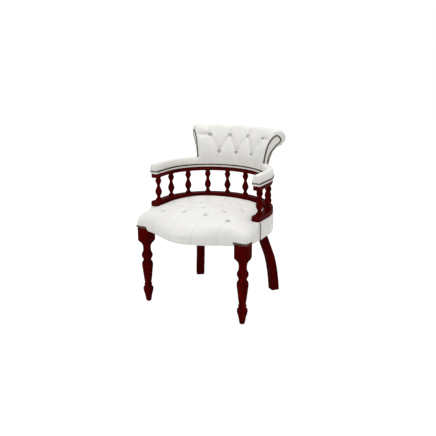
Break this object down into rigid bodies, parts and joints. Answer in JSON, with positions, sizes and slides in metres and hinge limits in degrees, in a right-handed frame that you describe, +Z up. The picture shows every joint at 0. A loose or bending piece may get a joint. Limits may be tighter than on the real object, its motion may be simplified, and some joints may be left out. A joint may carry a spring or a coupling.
{
  "type": "captains chair",
  "caption": "Wooden captains chair with a horseshoe gallery of turned spindles, padded arms, a low rolled back and a buttoned leather seat with a serpentine front.",
  "frame": {"origin": "on the floor, under the middle of the outer box", "axes": "+Z up, the sitter faces -Y, +X is the right side seen from the front"},
  "size_m": [0.5902, 0.675, 0.8239],
  "materials": {
    "polished_wood": "deep red polished lacquer over a dark straight grain",
    "leather": "smooth off-white hide with a soft sheen",
    "nails": "antiqued dome nails, bronze brown",
    "frame_wood": "plain planed beech, unseen inside the covers",
    "webbing": "woven jute strap",
    "dust_cloth": "thin black cloth under the seat",
    "steel": "plain zinc-plated bolts"
  },
  "bodies": {
    "root": {"arm_board": "frame_wood", "arm_pad_left": "leather", "arm_pad_right": "leather", "back_cushion": "leather", "back_facing_left": "leather", "back_facing_right": "leather", "back_outer_cover": "leather", "back_shell": "frame_wood", "corner_block_front_left": "frame_wood", "corner_block_front_right": "frame_wood", "corner_block_rear_left": "frame_wood", "corner_block_rear_right": "frame_wood", "dust_cover": "dust_cloth", "front_leg_left": "polished_wood", "front_leg_right": "polished_wood", "gallery_bolt_left_1": "steel", "gallery_bolt_left_2": "steel", "gallery_bolt_right_1": "steel", "gallery_bolt_right_2": "steel", "gallery_lower_rail": "polished_wood", "gallery_upper_rail": "polished_wood", "nails_facing_left": "nails", "nails_facing_right": "nails", "nails_inner_line": "nails", "nails_leg_left": "nails", "nails_leg_right": "nails", "nails_outer_line": "nails", "nails_side_left": "nails", "nails_side_right": "nails", "packing_rail": "frame_wood", "rear_leg_bolt_left_lower": "steel", "rear_leg_bolt_left_upper": "steel", "rear_leg_bolt_right_lower": "steel", "rear_leg_bolt_right_upper": "steel", "rear_leg_left": "polished_wood", "rear_leg_right": "polished_wood", "scroll_rail": "frame_wood", "seat_cushion": "leather", "seat_rail_back": "frame_wood", "seat_rail_front": "frame_wood", "seat_rail_left": "frame_wood", "seat_rail_right": "frame_wood", "seat_side_band": "leather", "spindle_01": "polished_wood", "spindle_02": "polished_wood", "spindle_03": "polished_wood", "spindle_04": "polished_wood", "spindle_05": "polished_wood", "spindle_06": "polished_wood", "spindle_07": "polished_wood", "spindle_08": "polished_wood", "spindle_09": "polished_wood", "spindle_10": "polished_wood", "webbing_across_1": "webbing", "webbing_across_2": "webbing", "webbing_across_3": "webbing", "webbing_along_1": "webbing", "webbing_along_2": "webbing", "webbing_along_3": "webbing"}
  },
  "joints": []
}
